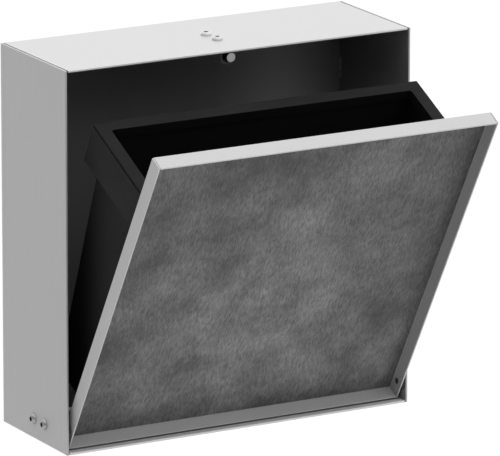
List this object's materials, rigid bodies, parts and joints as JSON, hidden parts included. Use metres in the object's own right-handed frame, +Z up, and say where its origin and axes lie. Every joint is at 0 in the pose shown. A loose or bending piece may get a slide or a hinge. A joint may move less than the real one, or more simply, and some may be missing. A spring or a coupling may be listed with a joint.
{
  "type": "wall-mounted tilt-out waste bin",
  "caption": "Open-fronted sheet-steel wall housing with a folded door that tilts out on pins and carries a lift-off plastic bucket with a bag frame; a magnetic push catch holds it shut.",
  "frame": {"origin": "middle of the wall face, the outer face of the back panel", "axes": "+X to the right for a person who faces the bin, +Y into the wall, +Z up; the door is stored tilted out against its stops"},
  "size_m": [0.3766, 0.3007, 0.3733],
  "materials": {
    "housing_steel": "satin, fine grain",
    "weld_metal": "dull weld bead",
    "door_steel": "satin, fine grain",
    "infill_steel": "dark, matt, cloudy",
    "black_bracket": "matt black powder coat",
    "black_catch": "matt black powder coat",
    "fastener_steel": "bright turned steel",
    "spring_steel": "drawn wire",
    "strike_zinc": "zinc plated",
    "rail_steel": "satin",
    "magnet_plating": "nickel plated",
    "black_rubber": "matt",
    "black_plastic": "matt",
    "bucket_plastic": "fine moulded grain",
    "bag_frame_plastic": "fine moulded grain"
  },
  "bodies": {
    "housing": {"top_panel": "housing_steel", "bottom_panel": "housing_steel", "back_panel": "housing_steel", "side_panel_left": "housing_steel", "side_panel_right": "housing_steel", "seam_welds": "weld_metal", "hinge_bracket_left": "black_bracket", "hinge_bracket_right": "black_bracket", "hinge_pin_left": "fastener_steel", "hinge_pin_right": "fastener_steel", "bracket_screws_left": "fastener_steel", "bracket_screws_right": "fastener_steel", "bracket_nuts_left": "fastener_steel", "bracket_nuts_right": "fastener_steel", "stop_pad_left": "black_rubber", "stop_pad_right": "black_rubber", "latch_holder": "black_catch", "latch_screws": "fastener_steel", "latch_barrel": "black_plastic", "latch_end_cap": "black_plastic", "latch_spring": "spring_steel"},
    "door": {"door_tray": "door_steel", "infill_panel": "infill_steel", "strike_plate": "strike_zinc", "bin_rail": "rail_steel", "rail_studs": "fastener_steel", "rail_nuts": "fastener_steel", "bin_buffers": "black_rubber", "hinge_bush_left": "black_plastic", "hinge_bush_right": "black_plastic"},
    "latch_plunger": {"latch_plunger": "black_plastic", "latch_magnet": "magnet_plating"},
    "bucket": {"bucket": "bucket_plastic"},
    "bag_frame": {"bag_frame": "bag_frame_plastic"}
  },
  "joints": [
    {"name": "door_tilt", "type": "hinge", "parent": "housing", "child": "door", "pos_m": [0, -0.122, -0.1648], "axis": [-1, 0, 0], "range_deg": [0, 30]},
    {"name": "latch_push", "type": "slide", "parent": "housing", "child": "latch_plunger", "axis": [0, 1, 0], "range_m": [0, 0.004], "stiffness_N_per_m": 400, "springref_m": -0.005, "deforming": ["latch_spring"]},
    {"name": "bucket_lift", "type": "slide", "parent": "door", "child": "bucket", "axis": [0, -0.5, 0.866], "range_m": [0, 0.013]},
    {"name": "bag_frame_lift", "type": "slide", "parent": "bucket", "child": "bag_frame", "axis": [0, -0.4352, 0.9003], "range_m": [0, 0.008]}
  ]
}
